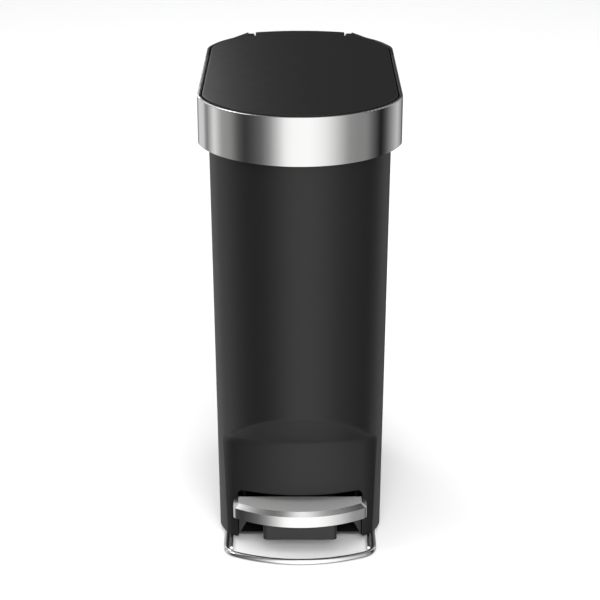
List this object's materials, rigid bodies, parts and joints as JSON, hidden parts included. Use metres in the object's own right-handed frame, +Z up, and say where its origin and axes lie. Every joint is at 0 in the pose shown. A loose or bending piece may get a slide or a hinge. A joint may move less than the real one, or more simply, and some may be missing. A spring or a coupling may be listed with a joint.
{
  "type": "pedal trash can",
  "caption": "Slim free-standing step bin with bowed ends, brushed-steel rim band, flat lid, steel-faced pedal and wire foot.",
  "frame": {"origin": "on the floor, under the middle of the bin's length and width", "axes": "+Z up, +X to the right, +Y to the back, so the pedal and the front face -Y"},
  "size_m": [0.266, 0.476, 0.637],
  "materials": {
    "black_plastic": "fine satin moulded grain",
    "inner_plastic": "matt moulded",
    "brushed_steel": "brushed along its length",
    "zinc_steel": "zinc plated, dull",
    "chrome_wire": "polished",
    "rubber": "matt",
    "nylon": "natural nylon, satin"
  },
  "bodies": {
    "root": {"body_shell": "black_plastic", "bin_floor": "inner_plastic", "base_plate": "inner_plastic", "base_screws": "zinc_steel", "foot_loop": "chrome_wire", "foot_nuts": "zinc_steel", "foot_braces": "chrome_wire", "rear_feet": "rubber", "pedal_bracket": "zinc_steel", "bracket_rivets": "zinc_steel", "pedal_pin": "zinc_steel", "pin_clips": "zinc_steel", "lever_rest": "rubber", "rod_guides": "nylon", "rear_channel": "inner_plastic", "channel_screws": "zinc_steel", "damper_mount": "inner_plastic", "damper_body": "inner_plastic", "rear_collar": "black_plastic", "collar_screws": "zinc_steel", "hinge_pin": "zinc_steel", "rim_pads": "rubber"},
    "rim": {"rim_frame": "inner_plastic", "steel_band": "brushed_steel"},
    "lid": {"lid_shell": "black_plastic", "lid_liner": "inner_plastic", "lid_screws": "zinc_steel", "lid_bumpers": "rubber", "lift_lug": "nylon", "hinge_bushes": "nylon"},
    "pedal": {"pedal_cover": "brushed_steel", "pedal_core": "inner_plastic", "pedal_lever": "zinc_steel", "pedal_screws": "zinc_steel", "lever_bushes": "nylon", "lever_pad": "nylon"},
    "lift_rod": {"push_rod": "zinc_steel", "rod_foot": "nylon", "rod_head": "nylon", "rod_arm": "nylon", "damper_piston": "zinc_steel"}
  },
  "joints": [
    {"name": "rim_hinge", "type": "hinge", "parent": "root", "child": "rim", "pos_m": [0, 0.222, 0.628], "axis": [-1, 0, 0], "range_deg": [0, 40]},
    {"name": "lid_hinge", "type": "hinge", "parent": "rim", "child": "lid", "pos_m": [0, 0.222, 0.628], "axis": [-1, 0, 0], "range_deg": [0, 75]},
    {"name": "pedal_pivot", "type": "hinge", "parent": "root", "child": "pedal", "pos_m": [0, -0.04, 0.04], "axis": [1, 0, 0], "range_deg": [0, 5.43]},
    {"name": "rod_lift", "type": "slide", "parent": "root", "child": "lift_rod", "axis": [0, 0, 1], "range_m": [0, 0.0229]}
  ],
  "couplings": [
    {"joint": "pedal_pivot", "follows": "lid_hinge", "ratio": 0.072267},
    {"joint": "rod_lift", "follows": "lid_hinge", "m_per_rad": 0.017418}
  ]
}
